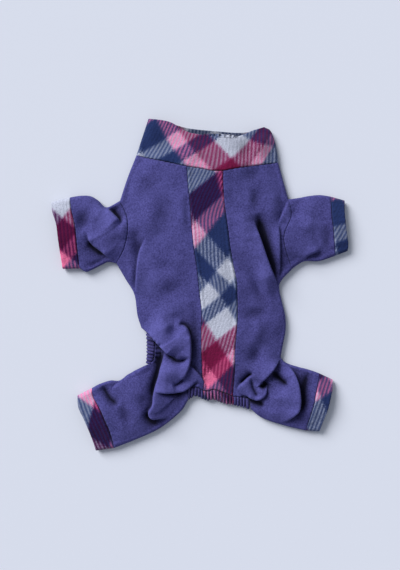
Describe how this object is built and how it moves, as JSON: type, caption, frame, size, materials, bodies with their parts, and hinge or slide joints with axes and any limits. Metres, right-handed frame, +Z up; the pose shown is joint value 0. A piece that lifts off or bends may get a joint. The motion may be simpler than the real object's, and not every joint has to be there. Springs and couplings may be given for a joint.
{
  "type": "cat pyjama jumpsuit",
  "caption": "Full-body pet suit laid flat with its back up: high plaid neck, plaid spine stripe and cuffs, soft violet sides, sleeves and legs, elastic rear opening.",
  "frame": {"origin": "on the surface that the garment lies on, under the middle of its outline's box", "axes": "+X across the garment to the picture's right, +Y along the back towards the collar, +Z up off the surface"},
  "size_m": [0.3568, 0.3992, 0.026],
  "materials": {
    "violet_jersey": "brushed cotton jersey, matt, indigo violet heather",
    "plaid_fleece": "brushed fleece with a bias tartan of navy, burgundy, crimson, pink, white and blue-grey",
    "violet_casing": "gathered jersey casing round elastic, matt, dark violet"
  },
  "bodies": {
    "root": {"collar": "plaid_fleece", "back_stripe": "plaid_fleece", "left_side": "violet_jersey", "right_side": "violet_jersey", "belly_panel": "violet_jersey", "left_front_sleeve": "violet_jersey", "right_front_sleeve": "violet_jersey", "left_front_cuff": "plaid_fleece", "right_front_cuff": "plaid_fleece", "left_hind_cuff": "plaid_fleece", "right_hind_cuff": "plaid_fleece", "tail_casing_left": "violet_casing", "tail_casing_middle": "plaid_fleece", "tail_casing_right": "violet_casing", "flank_casing": "violet_casing", "belly_casing": "violet_casing", "left_thigh_casing": "violet_casing", "right_thigh_casing": "violet_casing"}
  },
  "joints": []
}
